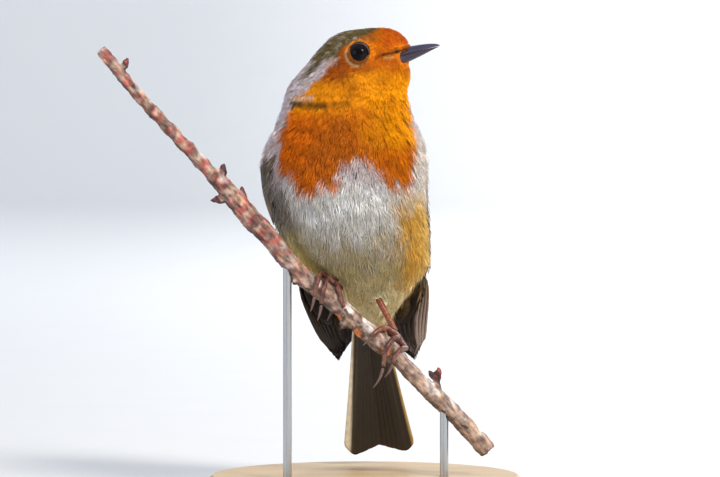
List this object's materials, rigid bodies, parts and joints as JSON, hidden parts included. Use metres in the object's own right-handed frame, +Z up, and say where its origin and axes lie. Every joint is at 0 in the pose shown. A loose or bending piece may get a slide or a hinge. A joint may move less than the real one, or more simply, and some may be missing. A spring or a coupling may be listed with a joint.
{
  "type": "european robin",
  "caption": "Life-size standing model of a European robin that grips a short cut twig and looks over its shoulder, on a small round display stand.",
  "frame": {"origin": "middle of the underside of the display stand's base", "axes": "+Z up; the bird's breast faces -Y, its tail lies towards +Y, and its bill points towards +X"},
  "size_m": [0.118, 0.088, 0.1308],
  "materials": {
    "orange_plumage": "short soft feathers, rust orange",
    "pale_plumage": "soft body feathers, white to olive buff",
    "flight_feathers": "smooth vaned feathers, dark olive brown",
    "horn": "smooth dark horn",
    "eye": "polished, nearly black",
    "leg_skin": "fine scutes, reddish brown",
    "bark": "rough young bark",
    "base_wood": "turned pale wood, satin",
    "rod_steel": "satin drawn wire"
  },
  "bodies": {
    "root": {"head": "orange_plumage", "neck": "orange_plumage", "trunk": "pale_plumage", "bill_upper": "horn", "bill_lower": "horn", "tail": "flight_feathers", "perch_twig": "bark", "stand_base": "base_wood", "eye_right": "eye", "wing_right": "flight_feathers", "thigh_right": "pale_plumage", "shank_right": "leg_skin", "foot_right": "leg_skin", "claw_right_outer": "horn", "claw_right_middle": "horn", "claw_right_inner": "horn", "claw_right_hind": "horn", "stand_rod_right": "rod_steel", "eye_left": "eye", "wing_left": "flight_feathers", "thigh_left": "pale_plumage", "shank_left": "leg_skin", "foot_left": "leg_skin", "claw_left_outer": "horn", "claw_left_middle": "horn", "claw_left_inner": "horn", "claw_left_hind": "horn", "stand_rod_left": "rod_steel"}
  },
  "joints": []
}
